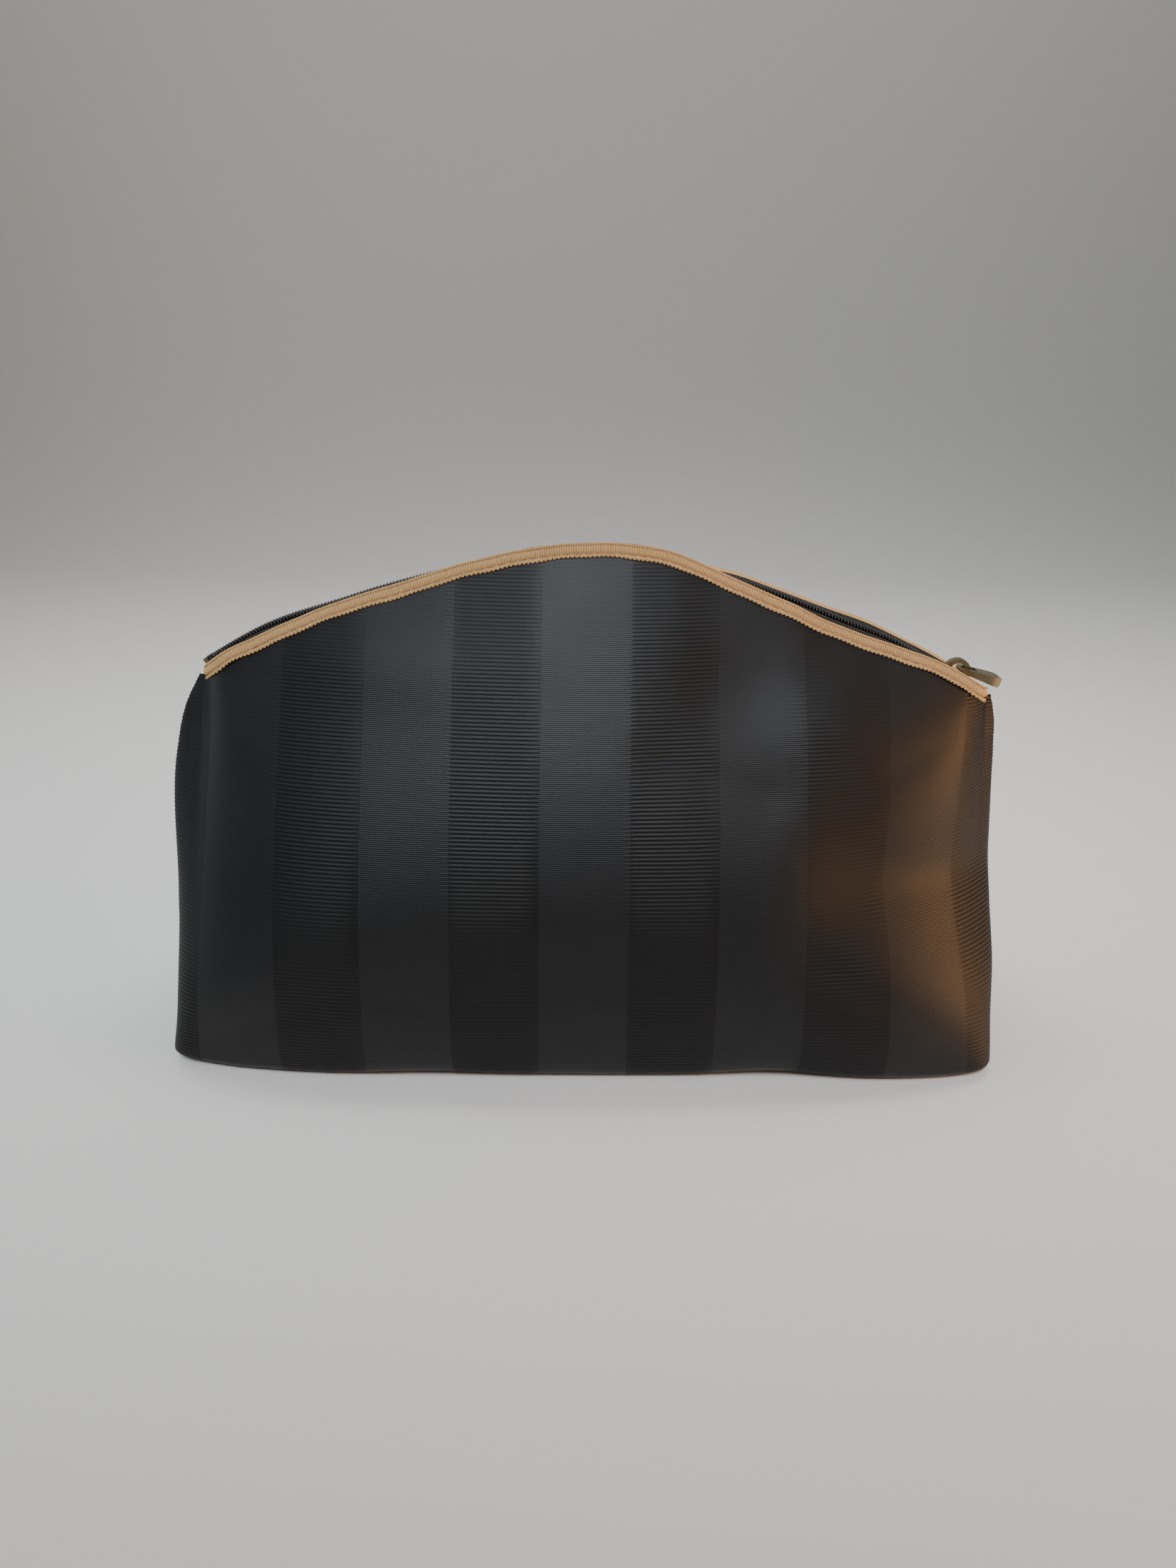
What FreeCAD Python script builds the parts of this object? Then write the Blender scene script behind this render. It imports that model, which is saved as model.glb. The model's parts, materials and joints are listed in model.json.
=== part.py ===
"""A soft zip-top makeup bag, closed and standing on its base.

Origin: the middle of the base, on the surface that the bag stands on.
+X runs along the bag's width to the closed end of the zip, +Y to the back, +Z up.
All dimensions are millimetres.  The mouth is an arc of a circle in the plane Y = 0, and every
piece that follows the mouth is a section turned about that circle's centre.
"""
import FreeCAD, Part
import math
import os

V = FreeCAD.Vector

# ---- overall size ----
WIDTH = 245.0                  # across the two sides
BASE_DEPTH = 88.0              # front to back, where the bag rests
MOUTH_HEIGHT = 146.5           # zip coil at its crest
MOUTH_RADIUS = 204.0           # the coil's arc
CREST_X = -5.0                 # the arc is off centre, so the zip's closed end is lower
MOUTH_HALF_GAP = 7.2           # from the middle of the zip to a panel's outer face
FRONT_BULGE = 18.0             # how far a wall stands out from its straight line
SIDE_BULGE = 7.0               # the same, at the sides
BULGE_LOW = 0.72               # under 1 moves the bulge below mid-height
UPRIGHT = 6.8                  # height of the upright strip along the mouth, inside the ribbon

# ---- cloth ----
PANEL = 1.0                    # outer cloth
LINING = 0.6
RIBBON = 0.6                   # grosgrain
RIBBON_HEIGHT = 4.2            # each leg of the folded ribbon
RIBBON_CLEAR = 0.2             # between a leg and the cloth that it binds
TAPE = 0.5                     # zip tape and seam tape, one layer
THREAD = 0.35
THREAD_INSET = 1.0             # from a ribbon's edge to its row of stitches
SEAM_FIN = 6.0                 # how far a bound seam stands into the bag
SIDE_SEAM_FOOT = 14.0          # heights that a side seam's tape spans
SIDE_SEAM_TOP = 82.0

# ---- zip ----
COIL_HALF = 2.5                # from the middle to a coil's outer edge
COIL_GAP = 0.45                # from the middle to a coil's inner edge
COIL_THICK = 1.6
TAPE_REACH = 8.0               # how far the tape runs down inside the ribbon
TAIL_END = -32.7               # degrees from the crest to the tapes' ends, where the zip opens to
HEAD_END = 36.2                # the same, where the zip closes
COIL_SHORT = 0.7               # degrees that the coils stop short of the tapes' ends
STOP_TURN = 0.45               # degrees that a stop covers
STOP_GAP = 0.1                 # degrees between a coil and its stop

# ---- slider and puller ----
SLIDER_PLACE = 34.0            # degrees from the crest, zip closed
SLIDER_TURN = 1.4              # half its length, in degrees
SLIDER_HALF = 3.9              # half its width
NOSE_CUT = 2.6                 # how much its nose tapers, each side
WING = 1.1
SLIDER_CLEAR = 0.4
FLANGE = 0.9
POST_HALF = 0.2                # the wedge between the coils
POST_LENGTH = 2.0
POST_SHORT = 0.3               # from the wedge to the slider's nose
BRIDGE_OUTER = 3.9
BRIDGE_BAR = 1.4
BRIDGE_HALF = 1.2
PULLER_LENGTH = 13.0           # from its hinge line to its tip
PULLER_EYE_HALF = 2.9          # half its width at the eye
PULLER_TIP_RADIUS = 3.7
PULLER_EYE_THICK = 1.5
PULLER_TIP_THICK = 3.0
PULLER_EYE_REACH = 4.7         # from its hinge line to the far end of the eye's hole
PULLER_LIFT = 16.0             # degrees that it lies above the zip's slope
EYE_HALF = 1.6                 # half the width of the eye's hole
PIVOT_ALONG = 0.6              # hinge line, from the slider's middle along the zip
PIVOT_UP = 1.2                 # hinge line, above the slider's top

HALF = WIDTH / 2
CENTRE_Z = MOUTH_HEIGHT - MOUTH_RADIUS
CENTRE = V(CREST_X, 0, CENTRE_Z)
TAPE_TOP = MOUTH_RADIUS - COIL_THICK / 2
RIBBON_TOP = MOUTH_RADIUS + 3.4
EDGE = RIBBON_TOP - RIBBON - 0.3             # the panels' raw edge, inside the ribbon
RIBBON_OUTER = MOUTH_HALF_GAP + RIBBON_CLEAR + RIBBON
RIBBON_INNER = MOUTH_HALF_GAP - PANEL - LINING - RIBBON_CLEAR - RIBBON
WING_TOP = MOUTH_RADIUS + COIL_THICK / 2 + SLIDER_CLEAR + WING
SLOT_LEFT = CREST_X + RIBBON_TOP * math.sin(math.radians(TAIL_END)) - RIBBON_CLEAR
SLOT_RIGHT = CREST_X + RIBBON_TOP * math.sin(math.radians(HEAD_END)) + RIBBON_CLEAR


# ---- helpers ----
def mouth_turn(corners, start, end):
    """A closed (y, radius) section, turned about the mouth's centre between two angles."""
    points = [V(CREST_X, y, CENTRE_Z + radius) for y, radius in corners]
    face = Part.Face(Part.makePolygon(points + points[:1]))
    face.rotate(CENTRE, V(0, 1, 0), start)
    return face.revolve(CENTRE, V(0, 1, 0), end - start)


def block(low, high):
    return Part.makeBox(high[0] - low[0], high[1] - low[1], high[2] - low[2], V(*low))


def rectangle(y_low, y_high, radius_low, radius_high):
    return [(y_low, radius_low), (y_high, radius_low), (y_high, radius_high), (y_low, radius_high)]


def mirrored(shape):
    """The back's copy of a front piece."""
    return shape.mirror(V(0, 0, 0), V(0, 1, 0))


# ---- the bag's walls ----
# Each station: share of the half width, share of the depth, drop of the top edge
STATIONS = [
    (1.0, 0.55, 17.0),
    (0.985, 0.8, 7.0),
    (0.955, 0.94, 1.5),
    (0.85, 1.0, 0.0),
    (0.6, 1.0, 0.0),
    (0.3, 1.0, 0.0),
]
WALL_POINTS = 9


def wall_section(share, depth_share, drop, inset):
    """One closed cross section of the bag, with its flat base, two bulging walls and narrow top."""
    station = share * HALF
    x = share * (HALF - inset)
    top = CENTRE_Z + math.sqrt(EDGE ** 2 - (station - CREST_X) ** 2) - drop - inset
    base_half = (BASE_DEPTH / 2) * depth_share - inset
    top_half = MOUTH_HALF_GAP - inset
    fullness = 1 - abs(share) ** 4
    bulge = SIDE_BULGE * depth_share + (FRONT_BULGE - SIDE_BULGE) * fullness
    front = []
    for step in range(WALL_POINTS):
        rise = step / (WALL_POINTS - 1)
        straight = base_half + (top_half - base_half) * rise
        out = straight + bulge * math.sin(math.pi * rise ** BULGE_LOW)
        front.append(V(x, -out, inset + (top - UPRIGHT - inset) * rise))
    back = [V(p.x, -p.y, p.z) for p in front]
    front_top = V(x, -top_half, top)
    back_top = V(x, top_half, top)
    front_foot = V(x, -base_half, inset - PANEL)
    back_foot = V(x, base_half, inset - PANEL)
    front_curve = Part.BSplineCurve()
    front_curve.interpolate(front)
    back_curve = Part.BSplineCurve()
    back_curve.interpolate(back[::-1])
    return Part.Wire([
        front_curve.toShape(),
        Part.LineSegment(front[-1], front_top).toShape(),
        Part.LineSegment(front_top, back_top).toShape(),
        Part.LineSegment(back_top, back[-1]).toShape(),
        back_curve.toShape(),
        Part.LineSegment(back[0], back_foot).toShape(),
        Part.LineSegment(back_foot, front_foot).toShape(),
        Part.LineSegment(front_foot, front[0]).toShape(),
    ])


def bag_form(inset):
    """The bag as one solid, drawn in from its outer face by inset."""
    left = [wall_section(-share, depth, drop, inset) for share, depth, drop in STATIONS]
    middle = [wall_section(0.0, 1.0, 0.0, inset)]
    right = [wall_section(share, depth, drop, inset) for share, depth, drop in STATIONS[::-1]]
    form = Part.makeLoft(left + middle + right, True, False)
    above_base = block((-WIDTH, -WIDTH, inset), (WIDTH, WIDTH, 2 * MOUTH_HEIGHT))
    return form.common(above_base)


def front_shell(outer_inset, thickness):
    """The front half of a layer of cloth, open along the mouth."""
    inner_half = MOUTH_HALF_GAP - outer_inset - thickness
    layer = bag_form(outer_inset).cut(bag_form(outer_inset + thickness))
    mouth = block((SLOT_LEFT, -inner_half, MOUTH_HEIGHT / 2), (SLOT_RIGHT, inner_half, 2 * MOUTH_HEIGHT))
    front_side = block((-WIDTH, -WIDTH, -1.0), (WIDTH, 0.0, 2 * MOUTH_HEIGHT))
    return layer.cut(mouth).common(front_side)


# ---- ribbon, tapes and threads ----
def front_binding():
    outer_face = RIBBON_OUTER - RIBBON
    low = RIBBON_TOP - RIBBON_HEIGHT
    inner_face = RIBBON_INNER + RIBBON
    corners = [
        (-RIBBON_OUTER, low), (-outer_face, low), (-outer_face, RIBBON_TOP - RIBBON),
        (-inner_face, RIBBON_TOP - RIBBON), (-inner_face, low), (-RIBBON_INNER, low),
        (-RIBBON_INNER, RIBBON_TOP), (-RIBBON_OUTER, RIBBON_TOP),
    ]
    return mouth_turn(corners, TAIL_END, HEAD_END)


def front_zip_tape():
    outer = RIBBON_INNER
    corners = [
        (-outer, TAPE_TOP - TAPE_REACH), (-outer + TAPE, TAPE_TOP - TAPE_REACH),
        (-outer + TAPE, TAPE_TOP - TAPE), (-COIL_GAP, TAPE_TOP - TAPE),
        (-COIL_GAP, TAPE_TOP), (-outer, TAPE_TOP),
    ]
    return mouth_turn(corners, TAIL_END, HEAD_END)


def front_coil():
    section = rectangle(-COIL_HALF, -COIL_GAP, TAPE_TOP, TAPE_TOP + COIL_THICK)
    return mouth_turn(section, TAIL_END + COIL_SHORT, HEAD_END - COIL_SHORT)


def front_thread(radius):
    section = rectangle(-RIBBON_OUTER - THREAD, -RIBBON_OUTER, radius - THREAD, radius + THREAD)
    return mouth_turn(section, TAIL_END, HEAD_END)


def front_end_stop(tape):
    """A small clip over the end of one coil."""
    section = rectangle(-COIL_HALF - 0.5, -POST_HALF, TAPE_TOP - 1.0, TAPE_TOP + COIL_THICK)
    start = HEAD_END - COIL_SHORT + STOP_GAP
    return mouth_turn(section, start, start + STOP_TURN).cut(tape)


def tail_stop():
    """A small bar above both coils' ends, where the open zip's slider halts."""
    section = rectangle(-COIL_HALF, COIL_HALF, TAPE_TOP + 0.2, TAPE_TOP + COIL_THICK)
    end = TAIL_END + COIL_SHORT - STOP_GAP
    return mouth_turn(section, end - STOP_TURN, end)


def side_seam_tape(side):
    """The bound allowance of a side seam, standing into the bag."""
    wall = side * (HALF - PANEL - LINING)
    x_values = sorted((wall, wall - side * SEAM_FIN))
    return block((x_values[0], -TAPE, SIDE_SEAM_FOOT), (x_values[1], TAPE, SIDE_SEAM_TOP))


def base_seam_tape():
    floor = PANEL + LINING
    reach = HALF - 14.0
    return block((-reach, -TAPE, floor), (reach, TAPE, floor + SEAM_FIN))


def corner_seam_tape(side):
    """The bound allowance of a boxed corner, across the base's end."""
    floor = PANEL + LINING
    middle = side * (HALF - 8.0)
    reach = BASE_DEPTH / 2 - 16.0
    return block((middle - TAPE, -reach, floor), (middle + TAPE, reach, floor + SEAM_FIN))


# ---- slider and puller ----
def slider_place(shape):
    """Moves a shape drawn at the crest to where the closed zip's slider stands."""
    shape.rotate(CENTRE, V(0, 1, 0), SLIDER_PLACE)
    return shape


def nose_corner(side):
    """What is cut away beside the slider's pointed nose."""
    tip = CREST_X - WING_TOP * math.sin(math.radians(SLIDER_TURN))
    edge = side * SLIDER_HALF
    low = CENTRE_Z + TAPE_TOP - BRIDGE_OUTER
    outer = V(tip - 1, edge + side, low)
    corners = [outer, V(tip + NOSE_CUT, edge + side, low), V(tip + NOSE_CUT, edge, low),
               V(tip, edge - side * NOSE_CUT, low), V(tip - 1, edge - side * NOSE_CUT, low), outer]
    return Part.Face(Part.makePolygon(corners)).extrude(V(0, 0, 2 * BRIDGE_OUTER))


def slider():
    """Two curved wings with turned-in edges, the wedge that joins them, and the arched bridge."""
    top_low = WING_TOP - WING
    bottom_high = TAPE_TOP - TAPE - SLIDER_CLEAR
    inner = SLIDER_HALF - FLANGE
    top_wing = [
        (-SLIDER_HALF, WING_TOP), (-SLIDER_HALF, TAPE_TOP + SLIDER_CLEAR),
        (-inner, TAPE_TOP + SLIDER_CLEAR), (-inner, top_low), (inner, top_low),
        (inner, TAPE_TOP + SLIDER_CLEAR), (SLIDER_HALF, TAPE_TOP + SLIDER_CLEAR),
        (SLIDER_HALF, WING_TOP),
    ]
    bottom_wing = rectangle(-SLIDER_HALF, SLIDER_HALF, bottom_high - WING, bottom_high)
    body = mouth_turn(top_wing, -SLIDER_TURN, SLIDER_TURN)
    body = body.fuse(mouth_turn(bottom_wing, -SLIDER_TURN, SLIDER_TURN))
    crest_z = CENTRE_Z + WING_TOP
    post_start = CREST_X + MOUTH_RADIUS * math.radians(SLIDER_TURN) - POST_LENGTH - POST_SHORT
    post_low = (post_start, -POST_HALF, CENTRE_Z + bottom_high - WING / 2)
    post_high = (post_start + POST_LENGTH, POST_HALF, crest_z - WING / 2)
    body = body.fuse(block(post_low, post_high))
    side = V(CREST_X, -BRIDGE_HALF, crest_z)
    ring = Part.makeCylinder(BRIDGE_OUTER, 2 * BRIDGE_HALF, side, V(0, 1, 0))
    hole = Part.makeCylinder(BRIDGE_OUTER - BRIDGE_BAR, 2 * BRIDGE_HALF, side, V(0, 1, 0))
    upper = block((-WIDTH, -WIDTH, crest_z - WING / 2), (WIDTH, WIDTH, crest_z + WIDTH))
    arch = ring.cut(hole).common(upper)
    body = body.cut(nose_corner(-1)).cut(nose_corner(1))
    return slider_place(body.fuse(arch).removeSplitter())


def drop_outline(length, start_radius, tip_radius):
    """A flat drop in the plane Z = 0: two rounds joined by their outer tangents."""
    tip = length - tip_radius
    lean = math.asin((tip_radius - start_radius) / tip)
    start_touch = V(-start_radius * math.sin(lean), start_radius * math.cos(lean), 0)
    tip_touch = V(tip - tip_radius * math.sin(lean), tip_radius * math.cos(lean), 0)
    other = [V(p.x, -p.y, 0) for p in (start_touch, tip_touch)]
    return Part.Wire([
        Part.LineSegment(start_touch, tip_touch).toShape(),
        Part.Arc(tip_touch, V(length, 0, 0), other[1]).toShape(),
        Part.LineSegment(other[1], other[0]).toShape(),
        Part.Arc(other[0], V(-start_radius, 0, 0), start_touch).toShape(),
    ])


def puller():
    """A drop-shaped tab: a flat eye round the bridge, swelling to a thick round tip."""
    pivot_z = CENTRE_Z + WING_TOP + PIVOT_UP
    plan_face = Part.Face(drop_outline(PULLER_LENGTH, PULLER_EYE_HALF, PULLER_TIP_RADIUS))
    plan_face.translate(V(0, 0, -PULLER_TIP_THICK))
    plan = plan_face.extrude(V(0, 0, 2 * PULLER_TIP_THICK))
    side_face = Part.Face(drop_outline(PULLER_LENGTH, PULLER_EYE_THICK / 2, PULLER_TIP_THICK / 2))
    side_face.rotate(V(0, 0, 0), V(1, 0, 0), 90)
    side_face.translate(V(0, PULLER_LENGTH, 0))
    profile = side_face.extrude(V(0, -2 * PULLER_LENGTH, 0))
    bar = PULLER_EYE_THICK / 2
    behind = block((-PULLER_LENGTH, -PULLER_LENGTH, -PULLER_LENGTH), (-bar, PULLER_LENGTH, PULLER_LENGTH))
    hole = block((bar, -EYE_HALF, -PULLER_TIP_THICK), (PULLER_EYE_REACH, EYE_HALF, PULLER_TIP_THICK))
    shape = plan.common(profile).cut(behind).cut(hole)
    shape.rotate(V(0, 0, 0), V(0, 1, 0), -PULLER_LIFT)
    shape.translate(V(CREST_X + PIVOT_ALONG, 0, pivot_z))
    return slider_place(shape)


def parts():
    tape = front_zip_tape()
    panel = front_shell(0.0, PANEL)
    lining = front_shell(PANEL, LINING)
    binding = front_binding()
    coil = front_coil()
    low_thread = front_thread(RIBBON_TOP - RIBBON_HEIGHT + THREAD_INSET)
    top_thread = front_thread(RIBBON_TOP - THREAD_INSET)
    end_stop = front_end_stop(tape)
    made = {
        "slider": slider(),
        "puller": puller(),
        "tail_stop": tail_stop(),
        "base_seam_tape": base_seam_tape(),
    }
    for name, shape in (
        ("panel", panel), ("lining", lining), ("binding", binding), ("zip_tape", tape),
        ("coil", coil), ("binding_thread", low_thread), ("zip_thread", top_thread),
        ("end_stop", end_stop),
    ):
        made["front_" + name] = shape
        made["back_" + name] = mirrored(shape)
    for name, side in (("left", -1), ("right", 1)):
        made[name + "_seam_tape"] = side_seam_tape(side)
        made[name + "_corner_seam_tape"] = corner_seam_tape(side)
    return made


os.makedirs("parts", exist_ok=True)
for node, solid in parts().items():
    solid.exportStep("parts/" + node + ".step")
    box = solid.BoundBox
    print(node, solid.ShapeType, len(solid.Solids), solid.isValid(), round(solid.Volume, 1),
          [round(v, 1) for v in (box.XMin, box.YMin, box.ZMin, box.XMax, box.YMax, box.ZMax)])
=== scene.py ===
"""The looks of a soft zip-top makeup bag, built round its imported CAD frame.  Metres throughout.

The cloth is drawn on a grid of cloth coordinates: a runs across the bag from the middle of a panel,
b runs up it.  Stripes, ribs and weave follow a and b, so they bend with the cloth.
"""
import json
import math

import bmesh
import bpy
import numpy as np
from mathutils import Matrix, Vector


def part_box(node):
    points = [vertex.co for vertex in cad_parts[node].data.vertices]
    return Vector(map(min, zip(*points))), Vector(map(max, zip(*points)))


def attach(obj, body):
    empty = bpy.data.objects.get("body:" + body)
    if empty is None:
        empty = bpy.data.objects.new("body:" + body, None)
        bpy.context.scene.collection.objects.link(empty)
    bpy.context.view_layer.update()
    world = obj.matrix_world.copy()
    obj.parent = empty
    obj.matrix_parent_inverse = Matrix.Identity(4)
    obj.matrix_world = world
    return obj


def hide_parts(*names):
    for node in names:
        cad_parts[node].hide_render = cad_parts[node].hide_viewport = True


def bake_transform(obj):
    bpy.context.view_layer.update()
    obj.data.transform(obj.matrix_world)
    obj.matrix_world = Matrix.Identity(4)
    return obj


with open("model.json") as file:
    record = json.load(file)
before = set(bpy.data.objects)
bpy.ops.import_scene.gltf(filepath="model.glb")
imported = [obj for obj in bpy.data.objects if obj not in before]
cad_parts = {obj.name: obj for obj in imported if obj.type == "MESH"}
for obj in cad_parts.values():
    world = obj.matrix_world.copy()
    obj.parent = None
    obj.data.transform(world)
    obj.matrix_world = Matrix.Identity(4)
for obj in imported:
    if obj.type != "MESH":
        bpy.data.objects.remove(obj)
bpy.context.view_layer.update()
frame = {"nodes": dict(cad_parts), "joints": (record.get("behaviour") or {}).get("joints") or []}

# ---- places taken from the frame ----
JOINTS = {joint["name"]: joint for joint in frame["joints"]}
ARC_X, _, ARC_Z = JOINTS["slider_travel"]["pos_m"]
COIL_LOW, COIL_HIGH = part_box("front_coil")
BINDING_LOW, BINDING_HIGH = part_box("front_binding")
HALF_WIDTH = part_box("front_panel")[1].x
COIL_THICK = 0.0016
COIL_ARC = COIL_HIGH.z - ARC_Z - COIL_THICK / 2
BINDING_ARC = BINDING_HIGH.z - ARC_Z
RIBBON = 0.0006
RIBBON_CLEAR = 0.0002                    # between the CAD ribbon and the cloth that it binds
PANEL_FACE = -BINDING_LOW.y - RIBBON - RIBBON_CLEAR   # from the middle of the zip to a panel's outer face
PANEL_THICK = 0.0010
LINING_THICK = 0.0006

# ---- the bag's shape ----
SWELL = 0.0165                           # a panel's bulge past its straight line
SWELL_SIDE = 0.0095
FULL_SQUARE = 4.5                        # how evenly the bulge spreads towards the sides
SWELL_LOW = 0.70
BASE_ROUND = 0.0035                      # radius between a wall and the base
SIDE_SQUARE = 10.0                       # how squarely a wall turns into the side
BASE_SQUARE = 22.0                       # the same, at the base
CAVE = 0.010                             # how far a side draws in at its seam
MOUTH_LEFT = -0.1150                     # the mouth's ends, on the side seams
MOUTH_RIGHT = 0.1195
MOUTH_MIDDLE = (MOUTH_LEFT + MOUTH_RIGHT) / 2
MOUTH_REACH = (MOUTH_RIGHT - MOUTH_LEFT) / 2
MOUTH_CLOSING = 0.0075                   # over this length at its ends, the mouth's two edges meet
CLOSING_BELOW = 0.060                    # lower down, the walls draw together this much more gradually

# (x, how far forward the base's edge stands)
BASE_EDGE = [
    (-0.1275, 0.0420), (-0.085, 0.0455), (0.0, 0.0455), (0.060, 0.0448), (0.090, 0.0462), (0.1250, 0.0450),
]
# (height, how far a side stands from the middle)
LEFT_OUTLINE = [
    (0.0, 0.1250), (0.012, 0.1234), (0.050, 0.1240), (0.088, 0.1252), (0.101, 0.1222), (0.1125, 0.1160),
]
RIGHT_OUTLINE = [
    (0.0, 0.1225), (0.015, 0.1228), (0.032, 0.1256), (0.055, 0.1270), (0.078, 0.1258), (0.095, 0.1242),
    (0.112, 0.1200),
]

# ---- the ribbon and the coils ----
RIBBON_DOWN = 0.0041                     # how far the ribbon reaches down a panel
GROSGRAIN_PITCH = 0.0007
GROSGRAIN_HEIGHT = 0.00017
PICOT_PITCH = 0.0013
PICOT_HEIGHT = 0.00052
PANEL_TRIM = 0.0024                      # a panel's cut edge stops this far inside the ribbon's fold
LINING_TRIM = 0.0031
# each row of stitches: down from the fold, out from the cloth, length, gap, radius
EDGE_STITCHES = (0.00323, 0.00028, 0.0026, 0.0006, 0.00019)
ZIP_STITCHES = (0.00090, 0.00026, 0.0024, 0.0006, 0.00016)
LINING_GAP = 0.0003                      # between a panel and its lining
COIL_PITCH = 0.00103
COIL_WIRE = 0.00029                      # the radius of a coil's wire
COIL_STEPS = 14                          # points along one turn
BASE_ROWS = 14
PULLER_BEVEL = 0.00090
METAL_BEVEL = 0.00028

# drop of each panel's mouth edge below the zip's arc: (x, drop)
FRONT_DROP = [
    (-0.1195, 0.0068), (-0.110, 0.0043), (-0.098, 0.0046), (-0.086, 0.0047), (-0.075, 0.0046),
    (-0.063, 0.0044), (-0.052, 0.0039), (-0.041, 0.0026), (-0.030, 0.0012), (-0.019, -0.0003),
    (-0.008, -0.0013), (0.003, -0.0020), (0.014, -0.0022), (0.024, -0.0014), (0.035, 0.0013),
    (0.046, 0.0035), (0.057, 0.0049), (0.069, 0.0064), (0.080, 0.0058), (0.092, 0.0038),
    (0.104, 0.0014), (0.1195, -0.0005),
]
BACK_DROP = [
    (-0.1195, 0.0060), (-0.105, 0.0058), (-0.088, 0.0064), (-0.057, 0.0066), (-0.020, 0.0056),
    (0.0, 0.0050), (0.020, 0.0042), (0.042, 0.0031), (0.056, 0.0040), (0.070, 0.0042),
    (0.084, 0.0030), (0.094, 0.0025), (0.104, 0.0016), (0.1195, 0.0005),
]

# ---- the bound seams inside ----
SIDE_SEAM_FOOT = 0.014
SIDE_SEAM_TOP = 0.082
CORNER_SEAM_REACH = 0.025
CORNER_SEAM_INSET = 0.016                # from a side to its corner seam
BASE_SEAM_REACH = 0.100
BASE_SEAM_SHORT = 0.012                  # the base's middle seam ends this far short of a side
BASE_CORNER_TUCK = 0.55                  # share of the rest that the base's corners still reach
SEAM_TAPE_WIDE = 0.006
CORNER_TAPE_WIDE = 0.005
SEAM_TAPE_THICK = 0.0012
SEAM_CLEAR = 0.0006                      # between the lining and the seam tapes

# ---- the jacquard ----
STRIPE = 0.0254
STRIPE_EDGE = -0.0135                    # a boundary between a ribbed stripe and the plain one right of it
RIB_PITCH = 0.00115
RIB_HEIGHT = 0.00009
RIB_FADE = 0.004                         # the ribs rise to their full height over this much of the foot
WEAVE_PITCH = 0.00057
ROWS_PER_RIB = 4
COLUMN_STEP = 0.0028
FRONT_COLUMNS = 0.1115                   # out to here, a column keeps the same a at every height


def smooth(t):
    t = np.clip(t, 0.0, 1.0)
    return t * t * (3 - 2 * t)


def curve_through(points, x):
    """A smooth curve through (x, y) points, by cubic pieces whose slopes follow the neighbours."""
    xs = np.array([p[0] for p in points])
    ys = np.array([p[1] for p in points])
    slopes = np.gradient(ys, xs)
    x = np.clip(x, xs[0], xs[-1])
    i = np.clip(np.searchsorted(xs, x) - 1, 0, len(xs) - 2)
    width = xs[i + 1] - xs[i]
    t = (x - xs[i]) / width
    return (
        ys[i] * (1 + 2 * t) * (1 - t) ** 2 + slopes[i] * width * t * (1 - t) ** 2
        + ys[i + 1] * t * t * (3 - 2 * t) - slopes[i + 1] * width * t * t * (1 - t)
    )


def arc_height(x, radius):
    return ARC_Z + np.sqrt(radius ** 2 - (x - ARC_X) ** 2)


def mouth_height(x, drop):
    """Height of a binding's top edge at x."""
    return arc_height(x, BINDING_ARC) - curve_through(drop, x)


def mouth_ends(x, closing=MOUTH_CLOSING):
    """0 along the mouth, rising to 1 at its ends over the length called closing."""
    return np.clip((np.abs(x - MOUTH_MIDDLE) - MOUTH_REACH + closing) / closing, 0, 1)


def mouth_face(x, closing=MOUTH_CLOSING):
    """How far a panel's outer face stands from the middle at the mouth; the ends close on the seams."""
    return PANEL_FACE * (1 - 0.92 * mouth_ends(x, closing) ** 3)


# ---- dents and folds, as (x, z) places on a panel seen from outside ----
def dent(x, z, place, size, depth):
    """A soft hollow (or a swelling, where depth is negative)."""
    return depth * np.exp(-((x - place[0]) / size[0]) ** 2 - ((z - place[1]) / size[1]) ** 2)


def fold(x, z, start, end, width, depth):
    """A crease along a line, sharp at its middle and fading to its ends."""
    along = np.array(end) - np.array(start)
    length = np.hypot(*along)
    t = ((x - start[0]) * along[0] + (z - start[1]) * along[1]) / length ** 2
    across = ((x - start[0]) * along[1] - (z - start[1]) * along[0]) / length
    fade = smooth((t + 0.12) / 0.35) * smooth((1.12 - t) / 0.35)
    return depth * fade * np.exp(-np.sqrt((across / width) ** 2 + 0.06))


def facet(x, z, upper, lower, slope):
    """A flat that recedes to the right, between two lines of (x, z) that open to the right."""
    distances = []
    for start, end in (upper, lower):
        along = np.array(end) - np.array(start)
        distances.append(((x - start[0]) * along[1] - (z - start[1]) * along[0]) / np.hypot(*along))
    distances.append(1.1 * (x - upper[0][0] + 0.006))
    soft = 0.0048
    least = -soft * np.log(sum(np.exp(-np.clip(d, -0.05, 0.2) / soft) for d in distances))
    return slope * soft * np.log1p(np.exp(least / soft))


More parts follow.
